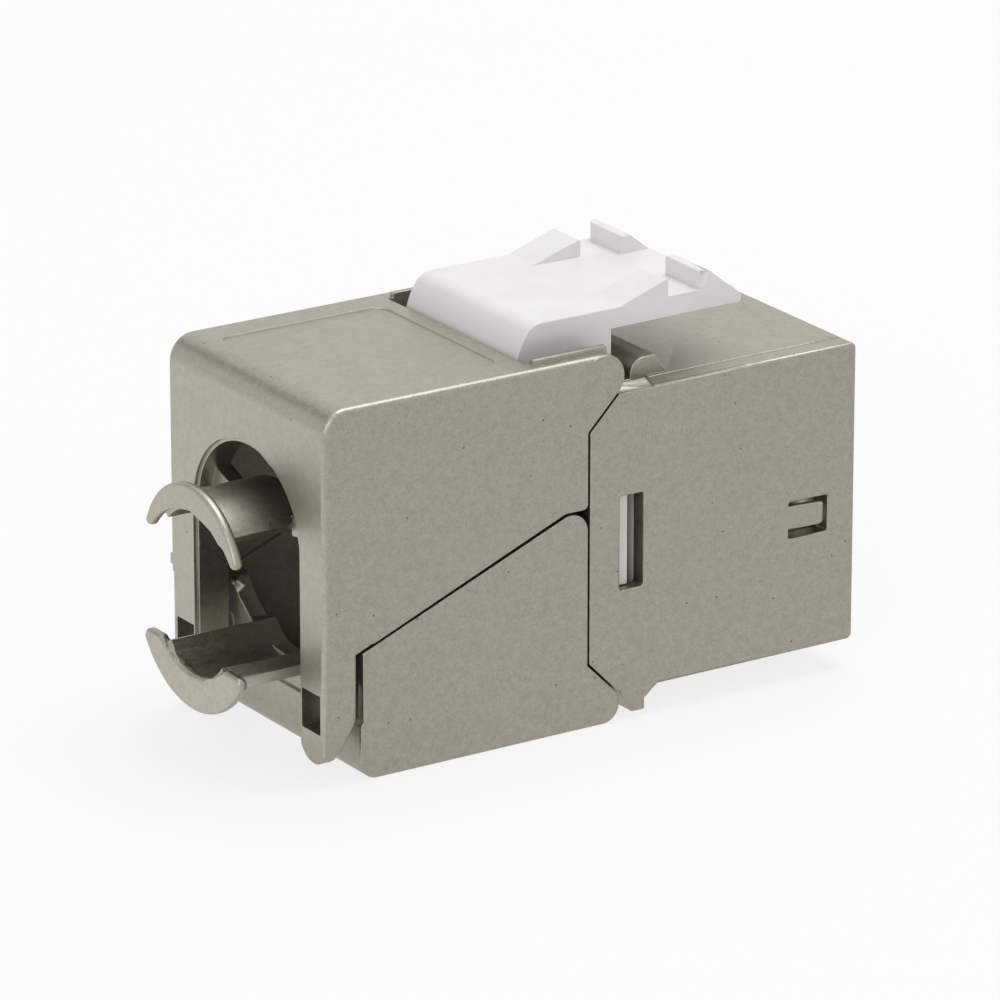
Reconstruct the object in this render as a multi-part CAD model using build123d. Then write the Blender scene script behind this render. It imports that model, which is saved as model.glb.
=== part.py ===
from build123d import *
import os
from math import acos, asin, cos, degrees, hypot, radians, sin

# Shielded keystone jack, in millimetres.
# X runs from the cable end (minus) to the plug port (plus), Y across, Z up.
# X = 0 is the seam between the housing and the hoods, Y = 0 the middle plane,
# Z = 0 the flat underside of the lower hood, on which the jack stands.

# Front housing
body_width = 14.7
housing_front = 16.14
housing_bottom = 1.5
housing_height = 15.93
housing_wall = 0.95
front_wall = 1.0
rear_chamfer_run = 1.85
rear_chamfer_rise = 1.88
front_edge_round = 0.33
side_edge_round = 0.15
top_panel_rise = 0.04
top_panel_margin = 1.15
mouth_bottom = 4.85
mouth_headroom = 0.41
mouth_depth = 1.7
slot_rear = 1.8
slot_length = 1.43
slot_bottom = 6.93
slot_height = 4.97
slot_corner = 0.15

# Side windows with a sprung lance cut from the wall
window_rear = 12.1
window_length = 2.34
window_bottom = 7.67
window_height = 1.93
window_corner = 0.1
lance_thickness = 0.4
lance_lift = 0.3
lance_front_gap = 0.44
lance_top_gap = 0.19
lance_bottom_gap = 0.56
lance_corner = 0.25

# Foot below, ledges and stop ridge on top
foot_rear = 1.93
foot_drop = 1.19
foot_length = 2.19
foot_toe = 0.65
foot_land = 0.78
foot_round = 0.12
ledge_depth = 0.12
ledge_front = 3.78
ledge_slant = 0.47
ledge_width = 1.35
ridge_rear = 3.26
ridge_height = 1.03
ridge_crest_front = 4.8
ridge_length = 2.23
ridge_rear_round = 0.85
ridge_crest_round = 0.1

# Plug port, tab channel downwards
port_side_wall = 0.5
port_bottom = 6.25
port_height = 6.9
tab_half_width = 3.1
tab_step = 1.15
tab_slot_half_width = 1.65
tab_slot_step = 1.4
port_lead_in = 0.25
insert_rear = 3.3
insert_rear_wall = 1.0

# Hoods
roof_over_housing = 2.03
roof_thickness = 1.03
roof_rear_round = 1.35
hood_side_wall = 1.1
hood_floor = 1.0
seam_gap = 0.08
hood_edge_round = 0.3
lower_edge_round = 0.1
rim_front_height = 11.95
rim_slope = 0.4
rim_corner_round = 1.0
rim_gap_rear = 0.12
rim_rear_round = 0.2
upper_lip_drop = 0.35
upper_lip_length = 1.35
lip_round = 0.3
lip_rear_round = 0.6
recess_depth = 0.08
recess_rear_margin = 1.8
recess_front = -4.1
recess_side_margin = 1.85
recess_corner = 0.8
notch_gap = 0.12
rail_height = 0.24
rail_width = 0.35
rail_rear = -2.9
rail_front = 1.45

# Legs and rear wall of the upper hood
leg_rear = -15.5
leg_thickness = 1.88
leg_bottom = 1.0
leg_bevel_run = 1.35
leg_bevel_rise = 2.12
leg_bevel_round = 0.5
leg_knee_round = 1.0
leg_inner_round = 0.5
leg_outer_round = 1.0
arch_side_wall = 0.26
arch_spring_height = 13.4
arch_rise = 2.2
arch_edge = 0.18
leg_window_side_wall = 0.55
leg_window_width = 1.67
leg_window_bottom = 2.66
leg_window_height = 2.04
leg_window_corner = 0.1
leg_step_height = 7.05
leg_step_depth = 0.12
nub_lift = 0.15
nub_height = 0.8
nub_proud = 0.2
nub_length = 0.9
nub_slope = 0.15
nub_setback = 0.45

# Rear wall of the lower hood
rear_wall_gap = 0.32
lower_rear_wall = 1.0
lower_rear_round = 1.0
plinth_height = 2.95
plinth_depth = 0.18
plinth_slope = 0.2
cutout_radius = 6.4
cutout_bottom = 4.35
catch_lift = 0.1
catch_proud = 0.3
catch_slope = 0.2
catch_height = 0.45
catch_clearance = 0.2
pocket_margin = 0.1
pocket_headroom = 0.2

# Cable saddles
flange_rear = -18.75
flange_thickness = 0.55
upper_flange_outer = 4.6
upper_flange_top = 14.25
upper_flange_inner = 4.9
upper_flange_inner_top = 12.9
upper_flange_tip = 11.05
upper_tip_round = 0.25
lower_flange_outer = 5.4
lower_flange_bottom = 2.5
lower_flange_inner = 4.6
lower_flange_inner_bottom = 4.35
lower_flange_tip = 5.5
lower_tip_round = 0.4
upper_tongue_outer = 4.2
upper_tongue_top = 13.7
upper_tongue_half_width = 3.1
tongue_thickness = 0.8
lower_tongue_outer = 3.8
lower_tongue_bottom = 3.4
lower_tongue_tip = 5.2
web_thickness = 0.9
web_overlap = 0.4
web_root_rise = 0.35
web_root_height = 1.4
web_setback = 0.25

# Hinges
upper_barrel_radius = 1.19
lower_barrel_radius = 0.98
barrel_gap = 0.1
pin_radius = 0.45
pin_clearance = 0.04
pin_seat_clearance = 0.01
pin_blind_cover = 0.45
pin_end_chamfer = 0.1
lug_width = 0.85
lug_side_gap = 0.1
lug_shrink = 0.12
lug_root = 0.35
plate_to_lug_gap = 0.2

# Latch clip
clip_side_gap = 1.15
clip_rise = 1.54
clip_plate_thickness = 1.08
clip_front = 10.58
clip_slope_run = 0.73
clip_slope_drop = 0.65
clip_slope_round = 0.1
clip_nose_round = 0.3
clip_rear_radius = 3.9
clip_rear_round = 1.1
clip_block_front = 2.72
clip_block_height = 2.7
clip_core_wall = 0.9
clip_core_roof = 1.0
clip_core_corner = 0.3
ramp_rear = 3.3
ramp_front = 6.14
ramp_rise = 0.93
ramp_blend = 1.5
ramp_crest_round = 0.12
ramp_width = 2.3
groove_width = 1.94
tab_width = 3.1
tab_rise = 0.96
tab_flat = 0.5
tab_corner_round = 0.45
hub_radius = 1.0
hub_mouth = 0.62

# Inner pieces
fit_clearance = 0.05
board_below_middle = 0.23
board_thickness = 0.8
board_rear = -7.0
board_front = 1.9
board_side_gap = 0.6
idc_rear = -7.6
idc_front = 2.3
idc_side_gap = 0.65
idc_height = 3.3
comb_margin = 0.53
comb_rear = -0.3
rib_clearance = 0.07
rib_front = 2.63
rib_inset = 0.6
rib_side_gap = 0.1
manager_headroom = 0.98
manager_side_gap = 0.4
manager_front_gap = 0.3
manager_corner = 0.4
manager_pocket_depth = 1.6
manager_frame = 1.1
press_gap = 0.1
press_rib_width = 0.8
press_rib_count = 3
press_rib_setback = 0.6
wire_radius = 0.6
outer_wire_inset = 0.9
inner_wire_y = 1.45
outer_terminal_x = -2.6
inner_terminal_x = -5.4
blade_width = 1.9
blade_thickness = 0.35
blade_slot = 0.3
blade_slot_depth = 1.9
blade_lead_in = 0.35
blade_above_block = 1.3
tail_width = 0.5
tail_stub = 0.4
tail_hole_clearance = 0.08

# Contact springs of the port
contact_count = 8
contact_pitch = 1.02
contact_width = 0.4
contact_thickness = 0.28
contact_run_gap = 0.6
contact_bend_x = 13.9
contact_bend_radius = 0.32
contact_tip_x = 6.0
contact_tip_height = 11.0
contact_tail_x = 1.1
contact_tail_stagger = 0.9
contact_slot_clearance = 0.1

# Ground springs beside the port
spring_rear = 7.6
spring_front = 14.9
spring_height = 2.3
spring_thickness = 0.2
spring_bow_rear = 8.3
spring_bow_front = 11.6
spring_bow_depth = 0.75

# How far a cutter runs past a face, and how deep a joined piece reaches into its neighbour
overshoot = 1.0
overlap = 0.2

# Worked out from the sizes above
half_width = body_width / 2
housing_top = housing_bottom + housing_height
roof_top = housing_top + roof_over_housing
upper_lip_height = rim_front_height - upper_lip_drop
clip_top = roof_top + clip_rise
clip_front_slope_start = clip_front - clip_slope_run
clip_front_slope_foot = clip_top - clip_slope_drop
clip_block_bottom = clip_top - clip_block_height
board_middle = roof_top / 2 - board_below_middle
chamfer_length = hypot(rear_chamfer_run, rear_chamfer_rise)
hood_inner = half_width - hood_side_wall
housing_inner = half_width - housing_wall
port_half_width = housing_inner - port_side_wall
port_top = port_bottom + port_height
contact_run_height = port_top + contact_run_gap
mouth_top = contact_run_height + contact_thickness / 2 + mouth_headroom
ridge_half_width = half_width - ledge_width
upper_axis_z = roof_top - upper_barrel_radius
lower_axis_z = lower_barrel_radius
lug_outer = hood_inner - lug_side_gap
lug_inner = lug_outer - lug_width
leg_front = leg_rear + leg_thickness
leg_window_inner = half_width - leg_window_side_wall - leg_window_width
arch_half_width = leg_window_inner - arch_side_wall
lower_rear = leg_front + rear_wall_gap
flange_front = flange_rear + flange_thickness
clip_half_width = hood_inner - clip_side_gap
idc_half_width = hood_inner - idc_side_gap
manager_half_width = hood_inner - manager_side_gap
board_half_width = idc_half_width - board_side_gap
outer_wire_y = board_half_width - outer_wire_inset
comb_half_width = (contact_count - 1) / 2 * contact_pitch + comb_margin
board_top = board_middle + board_thickness / 2
block_top = board_top + idc_height
manager_bottom = block_top + fit_clearance
manager_top = roof_top - roof_thickness - manager_headroom
hood_mirror = Plane.XY.offset(board_middle)
everywhere = housing_front - flange_rear + body_width + roof_top


def beside_chamfer(height_above_foot, standoff):
    """X of an axis that stands off a rear chamfer, from its height over the chamfer's foot."""
    along_run = rear_chamfer_run * height_above_foot
    return (along_run - standoff * chamfer_length) / rear_chamfer_rise


upper_chamfer_foot = housing_top - rear_chamfer_rise
lower_chamfer_foot = housing_bottom + rear_chamfer_rise
upper_axis_x = beside_chamfer(upper_axis_z - upper_chamfer_foot, upper_barrel_radius + barrel_gap)
lower_axis_x = beside_chamfer(lower_chamfer_foot - lower_axis_z, lower_barrel_radius + barrel_gap)
notch_rear = upper_axis_x - clip_rear_radius - notch_gap
into_chamfer = (rear_chamfer_rise / chamfer_length, -rear_chamfer_run / chamfer_length)
down_chamfer = (-rear_chamfer_run / chamfer_length, -rear_chamfer_rise / chamfer_length)


def outline(*corners, radii=0.0):
    """Closed outline through corners, rounded by one radius or by one per corner."""
    if radii == 0.0:
        return make_face(Polyline(*corners, close=True))
    return make_face(FilletPolyline(*corners, radius=radii, close=True))


def rectangle(left, right, bottom, top, corner=0.0):
    """Rectangle between two lefts and rights, with rounded corners if asked."""
    corners = [(left, bottom), (right, bottom), (right, top), (left, top)]
    return outline(*corners, radii=corner)


def disc(centre, radius):
    """Disc about a centre."""
    return Pos(*centre) * Circle(radius)


def across(sketch, low, high):
    """Prism of an X-Z sketch between two Y planes."""
    plane = Plane(origin=(0, high, 0), x_dir=(1, 0, 0), z_dir=(0, -1, 0))
    return extrude(plane * sketch, amount=high - low)


def along(sketch, low, high):
    """Prism of a Y-Z sketch between two X planes."""
    plane = Plane(origin=(low, 0, 0), x_dir=(0, 1, 0), z_dir=(1, 0, 0))
    return extrude(plane * sketch, amount=high - low)


def upward(sketch, low, high):
    """Prism of an X-Y sketch between two heights."""
    return extrude(Pos(0, 0, low) * sketch, amount=high - low)


def block(x_span, y_span, z_span):
    """Plain block between three pairs of limits."""
    return upward(rectangle(x_span[0], x_span[1], y_span[0], y_span[1]), z_span[0], z_span[1])


def both_sides(solid):
    """A solid and its mirror image across the middle plane."""
    return solid + mirror(solid, about=Plane.XZ)


def below_board(solid):
    """The mirror image of a solid across the middle of the circuit board."""
    return mirror(solid, about=hood_mirror)


def below_z(height):
    """Height mirrored across the middle of the circuit board."""
    return 2 * board_middle - height


def moved_along(point, direction, distance):
    """Point shifted along a direction."""
    return (point[0] + direction[0] * distance, point[1] + direction[1] * distance)


def flipped(direction):
    """Direction with its height turned over."""
    return (direction[0], -direction[1])


def port_sketch(grow):
    """Y-Z shape of the plug's way in, with the stepped channel for its latch."""
    first_step = port_bottom - tab_step
    second_step = first_step - tab_slot_step
    plug = rectangle(-port_half_width - grow, port_half_width + grow, port_bottom - grow, port_top + grow)
    latch = rectangle(-tab_half_width - grow, tab_half_width + grow, first_step - grow, port_bottom)
    lever = rectangle(-tab_slot_half_width - grow, tab_slot_half_width + grow, second_step - grow, first_step)
    return plug + latch + lever


def housing_outline():
    """X-Z outline of the housing with its two rear chamfers."""
    corners = [
        (0, lower_chamfer_foot),
        (rear_chamfer_run, housing_bottom),
        (housing_front, housing_bottom),
        (housing_front, housing_top),
        (rear_chamfer_run, housing_top),
        (0, upper_chamfer_foot),
    ]
    return outline(*corners, radii=[0, 0, front_edge_round, front_edge_round, 0, 0])


def foot_outline():
    """X-Z outline of the hook under the housing that holds the panel's lower edge."""
    bottom = housing_bottom - foot_drop
    front = foot_rear + foot_length
    toe = foot_rear + foot_toe
    corners = [
        (foot_rear, housing_bottom + housing_wall / 2),
        (foot_rear, housing_bottom),
        (toe, bottom),
        (toe + foot_land, bottom),
        (toe + foot_land, bottom + foot_drop / 2),
        (front, housing_bottom),
        (front, housing_bottom + housing_wall / 2),
    ]
    return outline(*corners, radii=[0, 0, foot_round, foot_round, 0, 0, 0])


def ridge_outline():
    """X-Z outline of the stop ridge under the latch clip, rounded behind and sloping in front."""
    top = housing_top + ridge_height
    corners = [
        (ridge_rear, housing_top - housing_wall / 2),
        (ridge_rear, top),
        (ridge_crest_front, top),
        (ridge_rear + ridge_length, housing_top),
        (ridge_rear + ridge_length, housing_top - housing_wall / 2),
    ]
    return outline(*corners, radii=[0, ridge_rear_round, ridge_crest_round, 0, 0])


def hinge_lug(axis, toward_body, along_slope, barrel_radius):
    """One eye on a rear chamfer that carries the hinge pin, bored for it."""
    radius = barrel_radius - lug_shrink
    root = barrel_radius + barrel_gap + lug_root
    side_a = moved_along(axis, along_slope, radius)
    side_b = moved_along(axis, along_slope, -radius)
    foot_a = moved_along(side_a, toward_body, root)
    foot_b = moved_along(side_b, toward_body, root)
    eye = disc(axis, radius) + outline(side_a, foot_a, foot_b, side_b)
    bore = disc(axis, pin_radius + pin_seat_clearance)
    return across(eye - bore, lug_inner, lug_outer)


def lance():
    """Sprung tongue on the near side, cut from the wall and bent outwards towards its free end."""
    free_end = window_rear + window_length - lance_front_gap
    low = window_bottom + lance_bottom_gap
    high = window_bottom + window_height - lance_top_gap
    shape = outline(
        (window_rear - overlap, -half_width),
        (free_end, -half_width - lance_lift),
        (free_end, -half_width - lance_lift + lance_thickness),
        (window_rear, -half_width + lance_thickness),
        (window_rear - overlap, -half_width + lance_thickness),
    )
    tongue = upward(shape, low, high)
    lower_corner = tongue.edges().filter_by(Axis.Y).group_by(Axis.X)[-1].sort_by(Axis.Z)[0]
    return fillet(lower_corner, lance_corner)


def make_front_housing():
    """Die-cast front shell with port, side slots, windows, foot, ridge and hinge eyes."""
    shell = across(housing_outline(), -half_width, half_width)
    long_edges = shell.edges().filter_by(Axis.X).group_by(Axis.Z)[-1]
    shell = fillet(long_edges, side_edge_round)
    room = block(
        (mouth_depth, housing_front - front_wall),
        (-housing_inner, housing_inner),
        (housing_bottom + housing_wall, housing_top - housing_wall),
    )
    mouth_half_width = idc_half_width + fit_clearance
    mouth = block((-overshoot, mouth_depth), (-mouth_half_width, mouth_half_width), (mouth_bottom, mouth_top))
    shell = shell - room - mouth
    shell = shell - along(port_sketch(fit_clearance), housing_front - front_wall, housing_front)
    rim = shell.faces().sort_by(Axis.X)[-1].inner_wires()[0].edges()
    shell = chamfer(rim, port_lead_in)
    slot = rectangle(slot_rear, slot_rear + slot_length, slot_bottom, slot_bottom + slot_height, slot_corner)
    window_front = window_rear + window_length
    window_top = window_bottom + window_height
    window = rectangle(window_rear, window_front, window_bottom, window_top, window_corner)
    shell = shell - both_sides(across(slot + window, -half_width - overshoot, -mouth_half_width))
    ledge = outline(
        (rear_chamfer_run / 2, -half_width - overshoot),
        (ledge_front, -half_width - overshoot),
        (ledge_front, -half_width),
        (ledge_front + ledge_slant, -ridge_half_width),
        (rear_chamfer_run / 2, -ridge_half_width),
    )
    shell = shell - both_sides(upward(ledge, housing_top - ledge_depth, housing_top + overshoot))
    panel_half_width = half_width - top_panel_margin
    panel_front = housing_front - front_edge_round
    panel = block(
        (ledge_front + ledge_slant, panel_front),
        (-panel_half_width, panel_half_width),
        (housing_top - housing_wall / 2, housing_top + top_panel_rise),
    )
    shell = shell + panel
    shell = shell + across(foot_outline(), -half_width, half_width)
    shell = shell + across(ridge_outline(), -ridge_half_width, ridge_half_width)
    shell = shell + both_sides(lance())
    upper_axis = (upper_axis_x, upper_axis_z)
    lower_axis = (lower_axis_x, lower_axis_z)
    upper_lug = hinge_lug(upper_axis, into_chamfer, down_chamfer, upper_barrel_radius)
    lower_lug = hinge_lug(lower_axis, flipped(into_chamfer), flipped(down_chamfer), lower_barrel_radius)
    return shell + both_sides(upper_lug) + both_sides(lower_lug)


def contact_rows():
    """Y of each contact spring, from one side to the other."""
    first = -(contact_count - 1) / 2 * contact_pitch
    return [first + index * contact_pitch for index in range(contact_count)]


def spring_middle():
    """Height of the middle of the ground springs, at the middle of the side windows."""
    return window_bottom + window_height / 2


def make_port_insert():
    """White plastic liner of the port, with a comb for the contact springs in its roof."""
    side = housing_inner - fit_clearance
    front = housing_front - front_wall - fit_clearance
    bottom = housing_bottom + housing_wall + fit_clearance
    top = housing_top - housing_wall - fit_clearance
    body = block((insert_rear, front), (-side, side), (bottom, top))
    body = body - along(port_sketch(0.0), insert_rear + insert_rear_wall, front)
    slot_half = contact_width / 2 + contact_slot_clearance
    slot_top = contact_run_height + contact_thickness + contact_slot_clearance
    slot_front = contact_bend_x + contact_bend_radius + contact_thickness + contact_slot_clearance
    slot_shape = rectangle(insert_rear, slot_front, port_top - contact_thickness, slot_top)
    for y in contact_rows():
        body = body - across(slot_shape, y - slot_half, y + slot_half)
    gap = rectangle(
        spring_rear - fit_clearance,
        spring_front + fit_clearance,
        spring_middle() - spring_height / 2 - fit_clearance,
        spring_middle() + spring_height / 2 + fit_clearance,
    )
    return body - both_sides(across(gap, -side, -port_half_width + fit_clearance))


def make_contact(index, y):
    """One sprung contact: board tail, riser, run over the port, bend and sloping tip."""
    tail_x = contact_tail_x - contact_tail_stagger * (index % 2)
    bend_drop = 2 * contact_bend_radius
    path = FilletPolyline(
        (tail_x, board_middle - board_thickness / 2 - tail_stub),
        (tail_x, contact_run_height),
        (contact_bend_x, contact_run_height),
        (contact_bend_x + contact_bend_radius, contact_run_height - bend_drop),
        (contact_tip_x, contact_tip_height),
        (contact_tip_x - contact_bend_radius * 2, contact_tip_height + contact_bend_radius),
        radius=contact_bend_radius,
    )
    shape = trace(path, line_width=contact_thickness)
    return across(shape, y - contact_width / 2, y + contact_width / 2)


def make_ground_spring():
    """Sprung strip on the near side, bowed inwards to touch the plug's screen."""
    outer = -(housing_inner - fit_clearance)
    inner = outer + spring_thickness
    crest = inner + spring_bow_depth
    middle = (spring_bow_rear + spring_bow_front) / 2
    flank = (spring_bow_front - spring_bow_rear) / 4
    centre_line = FilletPolyline(
        (spring_rear, inner - spring_thickness / 2),
        (spring_bow_rear, inner - spring_thickness / 2),
        (middle - flank, crest - spring_thickness / 2),
        (middle + flank, crest - spring_thickness / 2),
        (spring_bow_front, inner - spring_thickness / 2),
        (spring_front, inner - spring_thickness / 2),
        radius=spring_thickness * 2,
    )
    low = spring_middle() - spring_height / 2
    return upward(trace(centre_line, line_width=spring_thickness), low, low + spring_height)


def terminal_places():
    """X, Y and side of each cable terminal; those below sit between those above."""
    places = []
    for y in (-outer_wire_y, -inner_wire_y, inner_wire_y, outer_wire_y):
        x = outer_terminal_x if abs(y) == outer_wire_y else inner_terminal_x
        places.append((x, y, True))
        places.append((x + blade_width / 2, y, False))
    return places


def make_circuit_board():
    """Board that links the port contacts to the cable terminals, with plated holes."""
    low = board_middle - board_thickness / 2
    board = block((board_rear, board_front), (-board_half_width, board_half_width), (low, board_top))
    contact_hole = hypot(contact_width, contact_thickness) / 2 + tail_hole_clearance
    for index, y in enumerate(contact_rows()):
        x = contact_tail_x - contact_tail_stagger * (index % 2)
        board = board - upward(disc((x, y), contact_hole), low - overshoot, board_top + overshoot)
    terminal_hole = hypot(tail_width, blade_thickness) / 2 + tail_hole_clearance
    for x, y, up in terminal_places():
        board = board - upward(disc((x, y), terminal_hole), low - overshoot, board_top + overshoot)
    return board


def wire_channel(y):
    """Y-Z shape of the eight-sided channel that one wire lies in, half in each plastic piece."""
    return Pos(y, block_top) * RegularPolygon(wire_radius, 8, major_radius=False)


def slot_ribs():
    """Upright ribs beside the block that snap into the side slots of the housing."""
    outer = half_width - rib_inset
    inner = idc_half_width + rib_side_gap
    rear = slot_rear + rib_clearance
    low = slot_bottom + rib_clearance
    high = slot_bottom + slot_height - rib_clearance
    upright = block((rear, rib_front), (inner, outer), (low, high))
    bridge = block((rear, idc_front), (idc_half_width - overlap, inner + overlap), (low, board_middle))
    return both_sides(upright + bridge)


def make_idc_block(up):
    """Plastic block on one face of the board: wire channels on top and a slot for each blade."""
    body = block((idc_rear, idc_front), (-idc_half_width, idc_half_width), (board_middle, block_top))
    body = body - block(
        (board_rear - fit_clearance, board_front + fit_clearance),
        (-board_half_width - fit_clearance, board_half_width + fit_clearance),
        (board_middle - overshoot, board_top),
    )
    body = body - block((comb_rear, idc_front), (-comb_half_width, comb_half_width), (board_middle, block_top))
    for x, y, side in terminal_places():
        if side != up:
            continue
        reach = blade_width / 2 + fit_clearance
        thick = blade_thickness / 2 + fit_clearance
        body = body - block((x - thick, x + thick), (y - reach, y + reach), (board_middle, block_top))
        body = body - along(wire_channel(y), idc_rear, x + blade_width / 2)
    for x, y, side in terminal_places():
        if side == up:
            continue
        stub = tail_width / 2 + tail_stub
        body = body - block((x - stub, x + stub), (y - stub, y + stub), (board_middle, board_top + tail_stub * 2))
    return body if up else below_board(body) + slot_ribs()


def make_wire_manager(up):
    """Plastic cap that holds the cable's wires over the blades, pressed home by its hood."""
    front = -manager_front_gap
    body = block((idc_rear, front), (-manager_half_width, manager_half_width), (manager_bottom, manager_top))
    body = chamfer(body.edges().filter_by(Axis.Z), manager_corner)
    pocket_floor = manager_top - manager_pocket_depth
    pocket = block(
        (idc_rear + manager_frame, front - manager_frame),
        (manager_frame / 2, manager_half_width - manager_frame),
        (pocket_floor, manager_top),
    )
    body = body - both_sides(pocket)
    for x, y, side in terminal_places():
        if side != up:
            continue
        reach = blade_width / 2 + fit_clearance
        thick = blade_thickness / 2 + fit_clearance
        slot_top = block_top + blade_above_block + fit_clearance
        body = body - block((x - thick, x + thick), (y - reach, y + reach), (manager_bottom, slot_top))
        body = body - along(wire_channel(y), idc_rear, x + blade_width / 2)
    return body if up else below_board(body)


def make_terminal(x, y, up):
    """Forked blade that cuts through a wire's insulation, with a tail through the board."""
    top = block_top + blade_above_block
    half = blade_width / 2
    slot_bottom_z = top - blade_slot_depth
    blade = rectangle(-half, half, board_top, top)
    cut = outline(
        (-blade_slot / 2, slot_bottom_z),
        (blade_slot / 2, slot_bottom_z),
        (blade_slot / 2, top - blade_lead_in),
        (blade_slot / 2 + blade_lead_in, top),
        (-blade_slot / 2 - blade_lead_in, top),
        (-blade_slot / 2, top - blade_lead_in),
    )
    tail_bottom = board_middle - board_thickness / 2 - tail_stub
    tail = rectangle(-tail_width / 2, tail_width / 2, tail_bottom, board_top)
    shape = Pos(y, 0) * (blade - cut + tail)
    body = along(shape, x - blade_thickness / 2, x + blade_thickness / 2)
    return body if up else below_board(body)


def barrel_front(axis, radius, toward_body):
    """Point where a barrel comes nearest to the housing's chamfer."""
    return moved_along(axis, toward_body, radius)


def upper_outline():
    """X-Z outline of the upper hood's side, from the barrel to the toe of the leg."""
    axis = (upper_axis_x, upper_axis_z)
    near = barrel_front(axis, upper_barrel_radius, into_chamfer)
    drop = (near[0] + seam_gap) * rear_chamfer_rise / rear_chamfer_run
    lip_rear = -seam_gap - upper_lip_length
    seam_rise = rim_front_height + rim_slope * (leg_front + seam_gap) + rim_gap_rear
    corners = [
        (leg_rear, roof_top),
        (upper_axis_x, roof_top),
        axis,
        near,
        (-seam_gap, near[1] - drop),
        (-seam_gap, upper_lip_height),
        (lip_rear, upper_lip_height),
        (leg_front, seam_rise),
        (leg_front, leg_bottom + leg_bevel_rise),
        (leg_front - leg_bevel_run, leg_bottom),
        (leg_rear, leg_bottom),
    ]
    radii = [roof_rear_round, 0, 0, 0, 0, lip_round, lip_rear_round, 0, leg_knee_round, leg_bevel_round, 0]
    return outline(*corners, radii=radii)


def arch_sketch(grow):
    """Y-Z shape of the cable's way out between the legs, an elliptical arch on straight jambs."""
    half = arch_half_width + grow
    crown = Pos(0, arch_spring_height) * Ellipse(half, arch_rise + grow)
    return crown + rectangle(-half, half, leg_bottom - overshoot, arch_spring_height)


def ring_arc(outer, thickness, centre_z, half_angle, up):
    """Part of a ring about a centre height, open over half_angle each side of up or down."""
    ring = Circle(outer) - Circle(outer - thickness)
    reach = outer * 3
    side = reach * sin(radians(half_angle))
    height = reach * cos(radians(half_angle))
    wedge = outline((0, 0), (-side, height), (side, height))
    part = ring & wedge
    if not up:
        part = Rot(0, 0, 180) * part
    return Pos(0, centre_z) * part


def upper_flange():
    """Thin collar at the end of the upper saddle, a crescent with rounded tips."""
    outer_z = upper_flange_top - upper_flange_outer
    inner_z = upper_flange_inner_top - upper_flange_inner
    crescent = disc((0, outer_z), upper_flange_outer) - disc((0, inner_z), upper_flange_inner)
    reach = upper_flange_outer * 2
    crescent = crescent & rectangle(-reach, reach, upper_flange_tip, upper_flange_top + overshoot)
    plate = along(crescent, flange_rear, flange_front)
    tips = plate.edges().filter_by(Axis.X).group_by(Axis.Z)[0]
    return fillet(tips, upper_tip_round)


def lower_flange():
    """Thin collar at the end of the lower saddle, a crescent with rounded tips."""
    outer_z = lower_flange_bottom + lower_flange_outer
    inner_z = lower_flange_inner_bottom + lower_flange_inner
    crescent = disc((0, outer_z), lower_flange_outer) - disc((0, inner_z), lower_flange_inner)
    reach = lower_flange_outer * 2
    crescent = crescent & rectangle(-reach, reach, lower_flange_bottom - overshoot, lower_flange_tip)
    plate = along(crescent, flange_rear, flange_front)
    tips = plate.edges().filter_by(Axis.X).group_by(Axis.Z)[-1]
    return fillet(tips, lower_tip_round)


def upper_tongue():
    """Curved tongue of the upper saddle, with side webs that flare into the jambs."""
    centre_z = upper_tongue_top - upper_tongue_outer
    half_angle = degrees(asin(upper_tongue_half_width / upper_tongue_outer))
    tongue = ring_arc(upper_tongue_outer, tongue_thickness, centre_z, half_angle, True)
    edge_z = centre_z + (upper_tongue_outer - tongue_thickness / 2) * cos(radians(half_angle))
    web_low = edge_z - web_thickness / 2
    web = outline(
        (upper_tongue_half_width - web_overlap, web_low),
        (arch_half_width + overlap, web_low + web_root_rise),
        (arch_half_width + overlap, web_low + web_root_rise + web_root_height),
        (upper_tongue_half_width - web_overlap, web_low + web_thickness),
    )
    shape = along(tongue, flange_rear + flange_thickness / 2, leg_front)
    return shape + both_sides(along(web, leg_rear + web_setback, leg_front))


def outer_edges(solid, height, rear):
    """Edges of both side faces that lie at a given height, at the rear, or on the round between."""
    reach = hood_edge_round
    chosen = []
    for edge in solid.edges():
        middle = edge.center()
        on_side = abs(abs(middle.Y) - half_width) < seam_gap
        if on_side and (abs(middle.Z - height) < reach or abs(middle.X - rear) < reach):
            chosen.append(edge)
        elif on_side and edge.geom_type == GeomType.CIRCLE and abs(middle.X - rear) < roof_rear_round:
            if abs(middle.Z - height) < roof_rear_round:
                chosen.append(edge)
    return chosen


def toe_trim():
    """Thin layer off the outer side of a leg below its step, with the leg's edge round kept."""
    side = half_width - leg_step_depth
    inner = side - hood_edge_round
    front = leg_front + overshoot
    layer = rectangle(leg_rear - overshoot, front, inner, half_width + overshoot)
    kept = rectangle(leg_rear + hood_edge_round, front, 0, side) + rectangle(leg_rear, front, 0, inner)
    kept = kept + disc((leg_rear + hood_edge_round, inner), hood_edge_round)
    return upward(layer - kept, leg_bottom - overshoot, leg_step_height)


def toe_rounds():
    """Corners off the bottom of a leg, a small one inside and a larger one outside."""
    side = half_width - leg_step_depth
    inner_centre = (arch_half_width + leg_inner_round, leg_bottom + leg_inner_round)
    outer_centre = (side - leg_outer_round, leg_bottom + leg_outer_round)
    low = leg_bottom - overshoot
    inner = rectangle(arch_half_width - overshoot, inner_centre[0], low, inner_centre[1])
    outer = rectangle(outer_centre[0], side + overshoot, low, outer_centre[1])
    corners = inner - disc(inner_centre, leg_inner_round)
    corners = corners + (outer - disc(outer_centre, leg_outer_round))
    return along(corners, leg_rear - overshoot, leg_front + overlap)


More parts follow.
